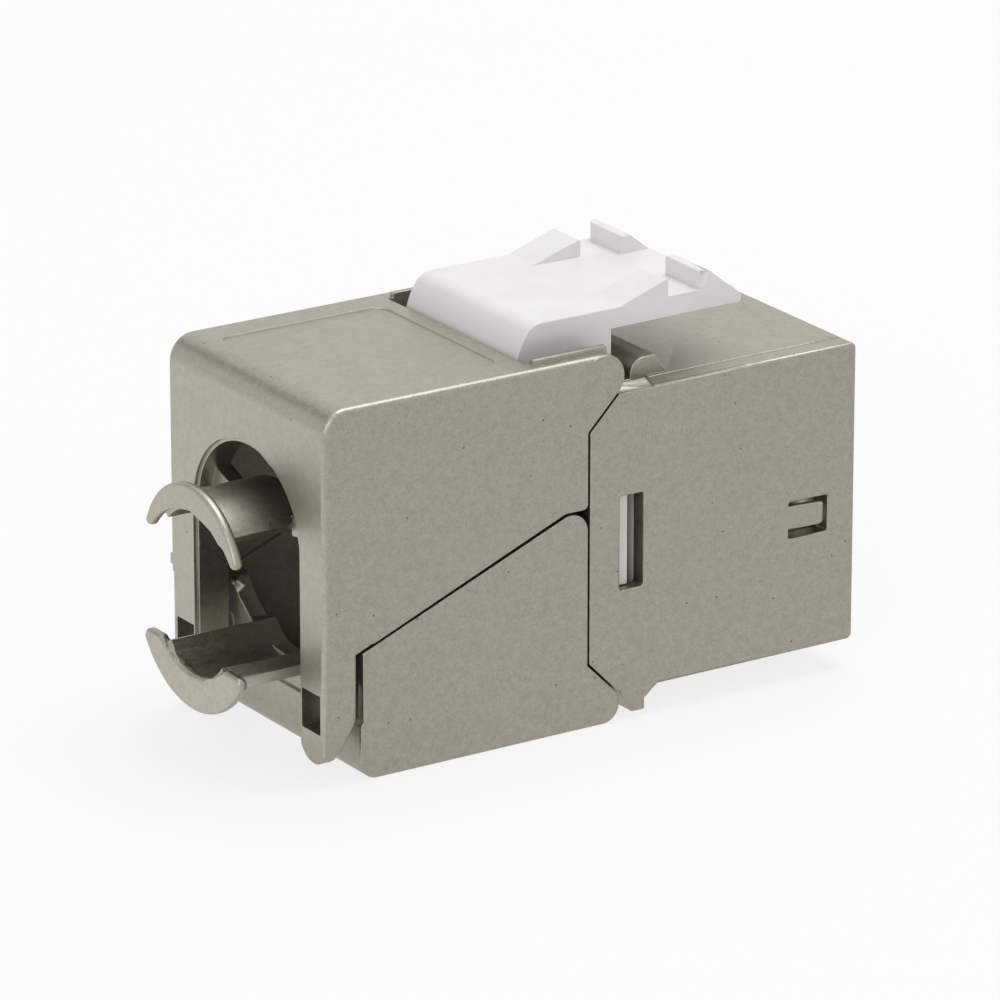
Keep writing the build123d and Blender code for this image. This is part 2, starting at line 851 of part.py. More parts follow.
def press_ribs(low, high):
    """Cast ribs inside a hood that press on the frame of its wire manager."""
    ribs = None
    rear = idc_rear + manager_frame / 2
    span = notch_rear - press_rib_setback - rear
    for index in range(press_rib_count):
        x = rear + span * index / (press_rib_count - 1)
        rib = block(
            (x - press_rib_width / 2, x + press_rib_width / 2),
            (-manager_half_width, manager_half_width),
            (low, high),
        )
        ribs = rib if ribs is None else ribs + rib
    return ribs


def pin_bore(axis):
    """Bore for a hinge pin: through the far arm, blind in the near one."""
    low = -(half_width - pin_blind_cover)
    return across(disc(axis, pin_radius + pin_clearance), low, half_width + overshoot)


def side_nub():
    """Small pip on the far side of the far leg, just above its step."""
    low = leg_step_height + nub_lift
    rear = leg_rear + nub_setback
    shape = outline(
        (half_width - overlap, low),
        (half_width + nub_proud, low + nub_slope),
        (half_width + nub_proud, low + nub_height - nub_slope),
        (half_width - overlap, low + nub_height),
    )
    return along(shape, rear, rear + nub_length)


def make_upper_hood():
    """Die-cast upper half: roof, notched for the clip, legs with windows, arch and saddle."""
    hood = across(upper_outline(), -half_width, half_width)
    hood = fillet(outer_edges(hood, roof_top, leg_rear), hood_edge_round)
    axis = (upper_axis_x, upper_axis_z)
    hood = hood + across(disc(axis, upper_barrel_radius), -half_width, half_width)
    ceiling = roof_top - roof_thickness
    hood = hood - block((leg_front, everywhere), (-hood_inner, hood_inner), (-overshoot, ceiling))
    hood = hood - block((notch_rear, everywhere), (-hood_inner, hood_inner), (0, everywhere))
    hood = hood - along(arch_sketch(0.0), leg_rear - overshoot, leg_front + overlap)
    hood = hood - along(arch_sketch(arch_edge), leg_rear - overshoot, leg_rear + arch_edge)
    window = rectangle(
        leg_window_inner,
        leg_window_inner + leg_window_width,
        leg_window_bottom,
        leg_window_bottom + leg_window_height,
        leg_window_corner,
    )
    hood = hood - both_sides(along(window, leg_rear - overshoot, leg_front + overshoot))
    hood = hood - both_sides(toe_trim()) - both_sides(toe_rounds())
    recess_half_width = half_width - recess_side_margin
    recess_rear = leg_rear + recess_rear_margin
    recess = rectangle(recess_rear, recess_front, -recess_half_width, recess_half_width, recess_corner)
    hood = hood - upward(recess, roof_top - recess_depth, roof_top + overshoot)
    rail_span = (hood_inner, hood_inner + rail_width)
    rail = block((rail_rear, rail_front), rail_span, (roof_top - overlap, roof_top + rail_height))
    hood = hood + both_sides(rail) + side_nub()
    hood = hood + press_ribs(manager_top + press_gap, ceiling + overlap)
    hood = hood + upper_tongue() + upper_flange()
    return hood - pin_bore(axis)


def lower_outline():
    """X-Z outline of the lower hood's side, from the barrel to the rear corner."""
    axis = (lower_axis_x, lower_axis_z)
    near = barrel_front(axis, lower_barrel_radius, flipped(into_chamfer))
    rise = (near[0] + seam_gap) * rear_chamfer_rise / rear_chamfer_run
    rim_rear_height = rim_front_height + rim_slope * (lower_rear + seam_gap)
    corners = [
        (-seam_gap, rim_front_height),
        (lower_rear, rim_rear_height),
        (lower_rear, plinth_height + plinth_slope / 2),
        (lower_rear - plinth_depth, plinth_height - plinth_slope / 2),
        (lower_rear - plinth_depth, 0),
        (lower_axis_x, 0),
        axis,
        near,
        (-seam_gap, near[1] + rise),
    ]
    radii = [rim_corner_round, rim_rear_round, 0, 0, lower_rear_round, 0, 0, 0, 0]
    return outline(*corners, radii=radii)


def lower_tongue():
    """Curved trough of the lower saddle, from inside the rear wall to the collar."""
    centre_z = lower_tongue_bottom + lower_tongue_outer
    half_angle = degrees(acos((centre_z - lower_tongue_tip) / (lower_tongue_outer - tongue_thickness / 2)))
    trough = ring_arc(lower_tongue_outer, tongue_thickness, centre_z, half_angle, False)
    return along(trough, flange_rear + flange_thickness / 2, lower_rear + lower_rear_wall)


def catch():
    """Wedge on the near side of the rear wall that snaps over the bar under the leg's window."""
    low = leg_window_bottom + catch_lift
    high = low + catch_height
    tip = lower_rear - catch_proud
    shape = outline((lower_rear + overlap, low), (tip, low + catch_slope), (tip, high), (lower_rear + overlap, high))
    inner = leg_window_inner + catch_clearance
    outer = leg_window_inner + leg_window_width - catch_clearance
    return across(shape, -outer, -inner)


def catch_pocket():
    """Opening in the rear wall above a catch, behind the leg's window."""
    low = leg_window_bottom + catch_lift + catch_height
    high = leg_window_bottom + leg_window_height + pocket_headroom
    inner = leg_window_inner - pocket_margin
    outer = leg_window_inner + leg_window_width
    rear = lower_rear - plinth_depth - overshoot
    return block((rear, lower_rear + lower_rear_wall), (-outer, -inner), (low, high))


def make_lower_hood():
    """Die-cast lower half: floor, rising rim, rear wall with cut-out, catches and saddle."""
    hood = across(lower_outline(), -half_width, half_width)
    bottom_edges = hood.edges().filter_by(Axis.X).group_by(Axis.Z)[0]
    hood = fillet(bottom_edges, lower_edge_round)
    axis = (lower_axis_x, lower_axis_z)
    hood = hood + across(disc(axis, lower_barrel_radius), -half_width, half_width)
    room_rear = lower_rear + lower_rear_wall
    hood = hood - block((room_rear, everywhere), (-hood_inner, hood_inner), (hood_floor, everywhere))
    cutout = disc((0, cutout_bottom + cutout_radius), cutout_radius)
    hood = hood - along(cutout, lower_rear - overshoot, room_rear + overshoot)
    lug_zone = (lug_inner - lug_side_gap, hood_inner)
    lug_radius = lower_barrel_radius - lug_shrink
    plate_front = lower_axis_x - lug_radius - plate_to_lug_gap
    hood = hood - both_sides(block((plate_front, everywhere), lug_zone, (-overshoot, everywhere)))
    hood = hood + across(disc(axis, lower_barrel_radius), -lug_zone[0], lug_zone[0])
    hood = hood - both_sides(catch_pocket()) + both_sides(catch())
    rib_top = below_z(manager_top) - press_gap
    hood = hood + press_ribs(hood_floor - overlap, rib_top)
    hood = hood + lower_tongue() + lower_flange()
    return hood - pin_bore(axis)


def clip_side():
    """X-Z outline of the latch from the block on the pin to the nose."""
    axis = (upper_axis_x, upper_axis_z)
    plate_bottom = clip_top - clip_plate_thickness
    plate = outline(
        (upper_axis_x, clip_top),
        (clip_front_slope_start, clip_top),
        (clip_front, clip_front_slope_foot),
        (clip_front, plate_bottom),
        (upper_axis_x, plate_bottom),
        radii=[0, clip_slope_round, clip_slope_round, clip_nose_round, 0],
    )
    reach = clip_rear_radius + overshoot
    block_area = rectangle(upper_axis_x - reach, clip_block_front, clip_block_bottom, clip_top)
    rear_end = disc(axis, clip_rear_radius) + rectangle(upper_axis_x, clip_front, 0, clip_top)
    return plate + (block_area & rear_end) + disc(axis, hub_radius)


def clip_ramp():
    """Ramp on the near side of the plate that slides over the panel's edge."""
    start = ramp_rear - overshoot
    root = clip_top - clip_plate_thickness / 2
    shape = outline(
        (start, root),
        (start, clip_top),
        (ramp_rear, clip_top),
        (ramp_front, clip_top + ramp_rise),
        (ramp_front, root),
        radii=[0, 0, ramp_blend, ramp_crest_round, 0],
    )
    return across(shape, -clip_half_width, -clip_half_width + ramp_width)


def clip_tab():
    """Stop tab on the near side of the plate, in front of the panel's edge."""
    tab_rear = ramp_front + groove_width
    root = clip_top - clip_plate_thickness / 2
    shape = outline(
        (tab_rear, root),
        (tab_rear, clip_top + tab_rise),
        (tab_rear + tab_flat, clip_top + tab_rise),
        (clip_front, clip_front_slope_foot),
        (clip_front - clip_nose_round, root),
    )
    tab = across(shape, -clip_half_width, -clip_half_width + tab_width)
    corner = tab.edges().filter_by(Axis.Z).sort_by(Axis.Y)[0]
    return fillet(corner, tab_corner_round)


def make_latch_clip():
    """White latch: block on the pin, plate, two ramps, the panel groove and two front tabs."""
    axis = (upper_axis_x, upper_axis_z)
    clip = across(clip_side(), -clip_half_width, clip_half_width)
    top_rear = clip.edges().filter_by(Axis.Y).group_by(Axis.Z)[-1].sort_by(Axis.X)[0]
    clip = fillet(top_rear, clip_rear_round)
    clip = clip + both_sides(clip_ramp()) + both_sides(clip_tab())
    core = rectangle(
        upper_axis_x - clip_rear_radius + clip_core_wall,
        upper_axis_x - hub_radius,
        clip_block_bottom - overshoot,
        clip_top - clip_core_roof,
        clip_core_corner,
    )
    core_half_width = clip_half_width - clip_core_wall
    clip = clip - across(core, -core_half_width, core_half_width)
    past_side = clip_half_width + overshoot
    clip = clip - across(disc(axis, pin_radius + pin_clearance), -past_side, past_side)
    mouth_half = hub_mouth / 2
    mouth_low = upper_axis_z - hub_radius - overshoot
    mouth = rectangle(upper_axis_x - mouth_half, upper_axis_x + mouth_half, mouth_low, upper_axis_z)
    return clip - across(mouth, -past_side, past_side)


def make_hinge_pin(axis):
    """Straight steel pin, pressed in from the far side."""
    low = -(half_width - pin_blind_cover - fit_clearance)
    pin = across(disc(axis, pin_radius), low, half_width - fit_clearance)
    far_end = pin.edges().filter_by(GeomType.CIRCLE).sort_by(Axis.Y)[-1]
    return chamfer(far_end, pin_end_chamfer)


def save(name, shape):
    """Write one sub-part as parts/name.step."""
    solid = shape.solids()[0] if len(shape.solids()) == 1 else shape
    export_step(solid, "parts/" + name + ".step")


os.makedirs("parts", exist_ok=True)
save("front_housing", make_front_housing())
save("upper_hood", make_upper_hood())
save("lower_hood", make_lower_hood())
save("latch_clip", make_latch_clip())
save("port_insert", make_port_insert())
near_spring = make_ground_spring()
save("ground_spring_near", near_spring)
save("ground_spring_far", mirror(near_spring, about=Plane.XZ))
save("circuit_board", make_circuit_board())
save("idc_block_upper", make_idc_block(True))
save("idc_block_lower", make_idc_block(False))
save("wire_manager_upper", make_wire_manager(True))
save("wire_manager_lower", make_wire_manager(False))
for number, (place_x, place_y, is_up) in enumerate(terminal_places(), start=1):
    save("idc_terminal_" + str(number), make_terminal(place_x, place_y, is_up))
for row_index, row_y in enumerate(contact_rows()):
    save("contact_spring_" + str(row_index + 1), make_contact(row_index, row_y))
save("hinge_pin_upper", make_hinge_pin((upper_axis_x, upper_axis_z)))
save("hinge_pin_lower", make_hinge_pin((lower_axis_x, lower_axis_z)))
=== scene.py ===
"""Studio picture of a shielded keystone jack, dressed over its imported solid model.

The castings and the latch get small rounds on their corners, and the upper hood also gets a fuller arch,
toes, webs and nub. The board gets its solder joints, and every part gets the finish of the real one.
Lengths in the classes are millimetres, and the scene is in metres.
"""
from __future__ import annotations

import logging
import math
from dataclasses import dataclass, field
from enum import Enum

import bmesh
import bpy
from mathutils import Matrix, Vector
from mathutils.bvhtree import BVHTree
from mathutils.geometry import intersect_line_line_2d, intersect_point_line


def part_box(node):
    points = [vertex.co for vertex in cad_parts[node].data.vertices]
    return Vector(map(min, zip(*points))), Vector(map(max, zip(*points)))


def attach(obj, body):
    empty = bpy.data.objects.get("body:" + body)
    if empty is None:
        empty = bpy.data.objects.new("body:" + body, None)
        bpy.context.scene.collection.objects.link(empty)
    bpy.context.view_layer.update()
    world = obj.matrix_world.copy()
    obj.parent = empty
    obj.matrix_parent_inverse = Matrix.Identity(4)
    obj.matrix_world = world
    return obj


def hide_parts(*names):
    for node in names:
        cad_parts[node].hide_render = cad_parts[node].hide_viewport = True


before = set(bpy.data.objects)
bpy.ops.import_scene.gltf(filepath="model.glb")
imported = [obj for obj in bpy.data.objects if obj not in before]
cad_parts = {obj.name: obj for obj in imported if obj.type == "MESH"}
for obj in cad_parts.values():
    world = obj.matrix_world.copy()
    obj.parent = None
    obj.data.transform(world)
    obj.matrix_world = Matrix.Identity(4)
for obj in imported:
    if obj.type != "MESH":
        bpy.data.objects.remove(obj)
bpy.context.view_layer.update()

MM = 0.001

# Points of a solid's mesh that lie nearer than this are one point, in millimetres.
MERGE_DISTANCE = 0.002
# Faces that turn by less than the first angle are one flat face, and by less than the second one round.
FLAT_ANGLE = 0.6
SMOOTH_ANGLE = 38.0
# Beside an edge, a round needs surface that is this near to flat and faces this nearly the same way.
PROBE_SHARES = (0.1, 0.5, 0.9)
PROBE_GAP = 0.25
SAME_FACING = 0.85
UPRIGHT_EDGE = 0.99
# A round is at fault where its faces overlap or where it strays from the old surface.
OVERLAP = 1.0005
STRAY_SHARE = 0.6
FAULT_REACH = 3
ROUND_TRIES = 12

log = logging.getLogger("keystone_jack")


class Slot(Enum):
    """Material slots of the record."""

    CASTING = "nickel_casting"
    POLYMER = "white_plastic"
    SPRING = "spring_steel"
    PIN = "pin_steel"
    BOARD = "board_laminate"
    GOLD = "gold_plate"


class Body(Enum):
    """Bodies that the pieces ride on."""

    HOUSING = "housing"
    UPPER_HOOD = "upper_hood_body"
    LOWER_HOOD = "lower_hood_body"
    LATCH = "latch"


class Operation(Enum):
    """What a solid does to a piece."""

    JOIN = "UNION"
    CUT = "DIFFERENCE"


def linear(colour: str) -> tuple[float, float, float, float]:
    """Turn an sRGB hex colour into linear light.

    Args:
        colour: Six hex digits after a hash sign.

    Returns:
        Red, green, blue and an alpha of one.
    """
    parts = [int(colour[place:place + 2], 16) / 255 for place in (1, 3, 5)]
    light = [part / 12.92 if part <= 0.04045 else ((part + 0.055) / 1.055) ** 2.4 for part in parts]
    return (light[0], light[1], light[2], 1.0)


def scale_for(size: float) -> float:
    """Give the texture scale that draws features of one size.

    Args:
        size: Size of a feature in millimetres.

    Returns:
        Scale for a texture on Object coordinates in metres.
    """
    return 1 / (size * MM)


def add_node(
    tree: bpy.types.NodeTree, kind: str, sockets: dict | None = None, settings: dict | None = None
) -> bpy.types.Node:
    """Add a node with its settings and links.

    Args:
        tree: Node tree that gets the node.
        kind: Type name of the node.
        sockets: Value or linked output for each input, by name or number.
        settings: Attributes of the node.

    Returns:
        The new node.
    """
    node = tree.nodes.new(kind)
    for name, value in (settings or {}).items():
        setattr(node, name, value)
    for name, value in (sockets or {}).items():
        if isinstance(value, bpy.types.NodeSocket):
            tree.links.new(value, node.inputs[name])
        else:
            node.inputs[name].default_value = value
    return node


def new_tree(name: str) -> tuple[bpy.types.Material, bpy.types.NodeTree]:
    """Start an empty material.

    Args:
        name: Name of the finish.

    Returns:
        The material and its node tree.
    """
    material = bpy.data.materials.new(name)
    material.use_nodes = True
    material.node_tree.nodes.clear()
    return material, material.node_tree


def speckle(
    tree: bpy.types.NodeTree, size: float, detail: float, low: float, high: float
) -> bpy.types.NodeSocket:
    """Draw soft random grain, spread over the full range from nought to one.

    Args:
        tree: Node tree of the material.
        size: Size of a grain in millimetres.
        detail: Levels of finer grain.
        low: Noise value that becomes nought.
        high: Noise value that becomes one.

    Returns:
        The output with the grain.
    """
    place = add_node(tree, "ShaderNodeTexCoord")
    noise = add_node(
        tree,
        "ShaderNodeTexNoise",
        {"Vector": place.outputs["Object"], "Scale": scale_for(size), "Detail": detail, "Roughness": 0.55},
    )
    spread = add_node(
        tree,
        "ShaderNodeMapRange",
        {"Value": noise.outputs["Fac"], "From Min": low, "From Max": high},
        {"interpolation_type": "SMOOTHSTEP"},
    )
    return spread.outputs["Result"]


def seen_directly(tree: bpy.types.NodeTree) -> bpy.types.NodeSocket:
    """Tell what the camera, mirror images and glass show from what only lights the scene.

    Args:
        tree: Node tree of the floor or the surroundings.

    Returns:
        The output, one for what is shown and nought for light.
    """
    path = add_node(tree, "ShaderNodeLightPath")
    seen = add_node(
        tree,
        "ShaderNodeMath",
        {0: path.outputs["Is Camera Ray"], 1: path.outputs["Is Glossy Ray"]},
        {"operation": "MAXIMUM"},
    )
    shown = add_node(
        tree,
        "ShaderNodeMath",
        {0: seen.outputs[0], 1: path.outputs["Is Transmission Ray"]},
        {"operation": "MAXIMUM"},
    )
    return shown.outputs[0]


@dataclass(frozen=True)
class SatinNickel:
    """Satin nickel plate on a zinc pressure die casting."""

    name: str = "satin_nickel_on_cast_zinc"
    light: str = "#a9a599"
    dark: str = "#938f84"
    pit: str = "#4b4842"
    # The real grain is finer than a pixel of the render, so it is drawn about two pixels wide.
    grain: float = 0.1
    cloud: float = 0.4
    pit_spacing: float = 1.15
    pit_radius: float = 0.05
    smooth: float = 0.34
    rough: float = 0.46
    relief: float = 0.006
    soft_edge: float = 0.05

    def material(self) -> bpy.types.Material:
        """Build the finish.

        The plate follows the skin of the casting, so the eye sees a warm grey metal with a fine sparkle of
        grain, soft clouds where the metal chilled first, and a few dark pin holes.

        Returns:
            The material.
        """
        material, tree = new_tree(self.name)
        clouds = speckle(tree, self.cloud, 3.0, 0.12, 0.88)
        grain = speckle(tree, self.grain, 2.0, 0.3, 0.7)
        mixed = add_node(
            tree, "ShaderNodeMath", {0: clouds, 1: grain}, {"operation": "ADD"}
        )
        share = add_node(
            tree, "ShaderNodeMath", {0: mixed.outputs[0], 1: 0.5}, {"operation": "MULTIPLY"}
        )
        plate = add_node(
            tree,
            "ShaderNodeMix",
            {0: share.outputs[0], 6: linear(self.dark), 7: linear(self.light)},
            {"data_type": "RGBA"},
        )
        place = add_node(tree, "ShaderNodeTexCoord")
        cells = add_node(
            tree,
            "ShaderNodeTexVoronoi",
            {"Vector": place.outputs["Object"], "Scale": scale_for(self.pit_spacing), "Randomness": 1.0},
        )
        hole = add_node(
            tree,
            "ShaderNodeMapRange",
            {
                "Value": cells.outputs["Distance"],
                "From Min": self.pit_radius / self.pit_spacing * 0.5,
                "From Max": self.pit_radius / self.pit_spacing * 1.4,
            },
            {"interpolation_type": "SMOOTHSTEP"},
        )
        colour = add_node(
            tree,
            "ShaderNodeMix",
            {0: hole.outputs["Result"], 6: linear(self.pit), 7: plate.outputs[2]},
            {"data_type": "RGBA"},
        )
        roughness = add_node(
            tree,
            "ShaderNodeMapRange",
            {"Value": grain, "To Min": self.smooth, "To Max": self.rough},
        )
        height = add_node(
            tree, "ShaderNodeMath", {0: grain, 1: hole.outputs["Result"]}, {"operation": "ADD"}
        )
        edge = add_node(tree, "ShaderNodeBevel", {"Radius": self.soft_edge * MM}, {"samples": 6})
        bump = add_node(
            tree,
            "ShaderNodeBump",
            {
                "Strength": 0.35,
                "Distance": self.relief * MM,
                "Height": height.outputs[0],
                "Normal": edge.outputs["Normal"],
            },
        )
        shader = add_node(
            tree,
            "ShaderNodeBsdfPrincipled",
            {
                "Base Color": colour.outputs[2],
                "Metallic": 1.0,
                "Roughness": roughness.outputs["Result"],
                "Normal": bump.outputs["Normal"],
            },
        )
        add_node(tree, "ShaderNodeOutputMaterial", {"Surface": shader.outputs["BSDF"]})
        return material


@dataclass(frozen=True)
class MouldedPolyester:
    """Filled polyester, injection moulded in white with a spark-eroded skin."""

    name: str = "white_moulded_polyester"
    light: str = "#eeedeb"
    dark: str = "#eae8e5"
    # The real grain is finer than a pixel of the render, so it is drawn about two pixels wide.
    grain: float = 0.11
    cloud: float = 3.2
    smooth: float = 0.3
    rough: float = 0.42
    relief: float = 0.003

    def material(self) -> bpy.types.Material:
        """Build the finish.

        The eye sees a clean white with a soft sheen, a very fine dull grain and faint flow clouds.

        Returns:
            The material.
        """
        material, tree = new_tree(self.name)
        clouds = speckle(tree, self.cloud, 2.0, 0.3, 0.7)
        grain = speckle(tree, self.grain, 1.0, 0.3, 0.7)
        colour = add_node(
            tree,
            "ShaderNodeMix",
            {0: clouds, 6: linear(self.dark), 7: linear(self.light)},
            {"data_type": "RGBA"},
        )
        roughness = add_node(
            tree,
            "ShaderNodeMapRange",
            {"Value": grain, "To Min": self.smooth, "To Max": self.rough},
        )
        bump = add_node(
            tree,
            "ShaderNodeBump",
            {"Strength": 0.25, "Distance": self.relief * MM, "Height": grain},
        )
        shader = add_node(
            tree,
            "ShaderNodeBsdfPrincipled",
            {
                "Base Color": colour.outputs[2],
                "Roughness": roughness.outputs["Result"],
                "IOR": 1.54,
                "Normal": bump.outputs["Normal"],
            },
        )
        add_node(tree, "ShaderNodeOutputMaterial", {"Surface": shader.outputs["BSDF"]})
        return material


@dataclass(frozen=True)
class DrawnMetal:
    """Sheet or wire with fine lines along one axis, from rolling, drawing or turning."""

    name: str
    light: str
    dark: str
    # The real lines are finer than a pixel of the render, so they are drawn about one pixel wide.
    line: float
    stretch: tuple[float, float, float]
    smooth: float
    rough: float
    relief: float = 0.002

    def material(self) -> bpy.types.Material:
        """Build the finish.

        The eye sees a bright metal whose highlight breaks up into short lines along the way it was drawn.

        Returns:
            The material.
        """
        material, tree = new_tree(self.name)
        place = add_node(tree, "ShaderNodeTexCoord")
        along = add_node(
            tree,
            "ShaderNodeMapping",
            {"Vector": place.outputs["Object"], "Scale": self.stretch},
        )
        lines = add_node(
            tree,
            "ShaderNodeTexNoise",
            {"Vector": along.outputs["Vector"], "Scale": scale_for(self.line), "Detail": 2.0},
        )
        colour = add_node(
            tree,
            "ShaderNodeMix",
            {0: lines.outputs["Fac"], 6: linear(self.dark), 7: linear(self.light)},
            {"data_type": "RGBA"},
        )
        roughness = add_node(
            tree,
            "ShaderNodeMapRange",
            {"Value": lines.outputs["Fac"], "To Min": self.smooth, "To Max": self.rough},
        )
        bump = add_node(
            tree,
            "ShaderNodeBump",
            {"Strength": 0.2, "Distance": self.relief * MM, "Height": lines.outputs["Fac"]},
        )
        shader = add_node(
            tree,
            "ShaderNodeBsdfPrincipled",
            {
                "Base Color": colour.outputs[2],
                "Metallic": 1.0,
                "Roughness": roughness.outputs["Result"],
                "Normal": bump.outputs["Normal"],
            },
        )
        add_node(tree, "ShaderNodeOutputMaterial", {"Surface": shader.outputs["BSDF"]})
        return material


@dataclass(frozen=True)
class TinSolder:
    """Lead-free tin solder, set after it flowed round a wire."""

    name: str = "lead_free_tin_solder"
    light: str = "#d3d3d0"
    dark: str = "#aeaeab"
    frost: float = 0.09
    smooth: float = 0.18
    rough: float = 0.42
    relief: float = 0.004

    def material(self) -> bpy.types.Material:
        """Build the finish.

        The eye sees a bright grey bead with frosted patches, where the tin set slowly.

        Returns:
            The material.
        """
        material, tree = new_tree(self.name)
        frost = speckle(tree, self.frost, 2.0, 0.35, 0.65)
        colour = add_node(
            tree,
            "ShaderNodeMix",
            {0: frost, 6: linear(self.light), 7: linear(self.dark)},
            {"data_type": "RGBA"},
        )
        roughness = add_node(
            tree,
            "ShaderNodeMapRange",
            {"Value": frost, "To Min": self.smooth, "To Max": self.rough},
        )
        bump = add_node(
            tree,
            "ShaderNodeBump",
            {"Strength": 0.3, "Distance": self.relief * MM, "Height": frost},
        )
        shader = add_node(
            tree,
            "ShaderNodeBsdfPrincipled",
            {
                "Base Color": colour.outputs[2],
                "Metallic": 1.0,
                "Roughness": roughness.outputs["Result"],
                "Normal": bump.outputs["Normal"],
            },
        )
        add_node(tree, "ShaderNodeOutputMaterial", {"Surface": shader.outputs["BSDF"]})
        return material


@dataclass(frozen=True)
class BoardLaminate:
    """Woven glass laminate under a green solder mask."""

    name: str = "green_masked_glass_laminate"
    mask: str = "#1f5f3a"
    thread: str = "#2f7048"
    pitch: float = 0.45
    roughness_low: float = 0.28
    roughness_high: float = 0.4
    relief: float = 0.01

    def material(self) -> bpy.types.Material:
        """Build the finish.

        The eye sees a glossy dark green, with the glass weave as a faint lighter grid below the mask.

        Returns:
            The material.
        """
        material, tree = new_tree(self.name)
        place = add_node(tree, "ShaderNodeTexCoord")
        # The wave texture runs through 20 radians in one unit, so these bands are 6.3 pitches apart.
        scale = scale_for(self.pitch) / 20
        warp, weft = (
            add_node(
                tree,
                "ShaderNodeTexWave",
                {"Vector": place.outputs["Object"], "Scale": scale, "Distortion": 0.4},
                {"bands_direction": direction},
            )
            for direction in ("X", "Y")
        )
        weave = add_node(
            tree,
            "ShaderNodeMath",
            {0: warp.outputs["Fac"], 1: weft.outputs["Fac"]},
            {"operation": "MAXIMUM"},
        )
        colour = add_node(
            tree,
            "ShaderNodeMix",
            {0: weave.outputs[0], 6: linear(self.mask), 7: linear(self.thread)},
            {"data_type": "RGBA"},
        )
        roughness = add_node(
            tree,
            "ShaderNodeMapRange",
            {"Value": weave.outputs[0], "To Min": self.roughness_low, "To Max": self.roughness_high},
        )
        bump = add_node(
            tree,
            "ShaderNodeBump",
            {"Strength": 0.3, "Distance": self.relief * MM, "Height": weave.outputs[0]},
        )
        shader = add_node(
            tree,
            "ShaderNodeBsdfPrincipled",
            {
                "Base Color": colour.outputs[2],
                "Roughness": roughness.outputs["Result"],
                "IOR": 1.55,
                "Normal": bump.outputs["Normal"],
            },
        )
        add_node(tree, "ShaderNodeOutputMaterial", {"Surface": shader.outputs["BSDF"]})
        return material


def deselect_all() -> None:
    """Leave no object selected, so that an operator acts only on what is chosen next."""
    if bpy.context.mode != "OBJECT":
        bpy.ops.object.mode_set(mode="OBJECT")
    bpy.ops.object.select_all(action="DESELECT")


def choose(piece: bpy.types.Object) -> None:
    """Make one object the only selected and active one.

    Args:
        piece: That object.
    """
    deselect_all()
    piece.select_set(True)
    bpy.context.view_layer.objects.active = piece


def apply_modifier(piece: bpy.types.Object, kind: str, settings: dict) -> None:
    """Add a modifier and bake it into the mesh.

    Args:
        piece: Object that is shaped.
        kind: Type name of the modifier.
        settings: Attributes of the modifier.
    """
    modifier = piece.modifiers.new(kind.lower(), kind)
    for name, value in settings.items():
        setattr(modifier, name, value)
    choose(piece)
    bpy.ops.object.modifier_apply(modifier=modifier.name)


def dress(piece: bpy.types.Object, material: bpy.types.Material) -> None:
    """Give an object one material on all its faces."""
    piece.data.materials.clear()
    piece.data.materials.append(material)


def dress_node(node: str, material: bpy.types.Material) -> None:
    """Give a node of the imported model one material, in its object's slots.

    Args:
        node: Name of the node.
        material: Its finish.
    """
    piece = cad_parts[node]
    for slot in piece.material_slots:
        slot.material = material
    log.info("%s dressed with %s", node, material.name)


def finish_piece(piece: bpy.types.Object, body: Body, material: bpy.types.Material) -> None:
    """Dress a new piece and fix it to its body.

    Args:
        piece: The finished mesh object.
        body: Body that it rides on.
        material: Its finish.
    """
    dress(piece, material)
    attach(piece, body.value)
    triangles = sum(len(face.vertices) - 2 for face in piece.data.polygons)
    log.info("%s built with %s triangles", piece.name, triangles)


def joined_copy(node: str, name: str) -> bpy.types.Object:
    """Copy a node's mesh and join its loose triangles.

    Args:
        node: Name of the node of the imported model.
        name: Name of the new piece.

    Returns:
        The new piece, with its place in its mesh.
    """
    piece = bpy.data.objects.new(name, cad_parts[node].data.copy())
    bpy.context.scene.collection.objects.link(piece)
    piece.data.materials.clear()
    choose(piece)
    bpy.ops.object.mode_set(mode="EDIT")
    bpy.ops.mesh.select_all(action="SELECT")
    bpy.ops.mesh.remove_doubles(threshold=MERGE_DISTANCE * MM)
    bpy.ops.object.mode_set(mode="OBJECT")
    return piece


def has_room(edge: bmesh.types.BMEdge, tree: BVHTree, room: float, sharp: float = 30.0) -> bool:
    """Tell whether an edge is an outer corner with enough flat surface beside it for a round.

    Args:
        edge: Edge of the mesh.
        tree: Search tree of the same mesh.
        room: Width of surface that the round needs on both sides, in metres.
        sharp: Smallest angle between faces that counts as a corner, in degrees.

    Returns:
        True where the round fits.
    """
    if len(edge.link_faces) != 2 or not edge.is_convex or edge.calc_face_angle() < math.radians(sharp):
        return False
    for loop in edge.link_loops:
        start, end = loop.vert.co, loop.link_loop_next.vert.co
        inward = loop.face.normal.cross(end - start).normalized()
        for share in PROBE_SHARES:
            probe = start.lerp(end, share) + inward * room
            _, normal, _, distance = tree.find_nearest(probe)
            if distance > room * PROBE_GAP or normal.dot(loop.face.normal) < SAME_FACING:
                return False
    return True


def crossings(mesh: bpy.types.Mesh, polygon: bpy.types.MeshPolygon) -> list[Vector]:
    """Find the places where the outline of a flat face crosses itself.

    Args:
        mesh: The mesh.
        polygon: One of its faces.

    Returns:
        The crossing places, in metres.
    """
    turn = polygon.normal.to_track_quat("Z", "Y").to_matrix()
    corners = [(turn.transposed() @ mesh.vertices[index].co) / MM for index in polygon.vertices]
    count = len(corners)
    spots = []
    for first in range(count):
        for second in range(first + 2, count):
            if (second + 1) % count == first:
                continue
            one_side = (corners[first].xy, corners[(first + 1) % count].xy)
            other = (corners[second].xy, corners[(second + 1) % count].xy)
            meeting = intersect_line_line_2d(*one_side, *other)
            if meeting:
                spots.append(turn @ Vector((meeting.x, meeting.y, corners[first].z)) * MM)
    return spots


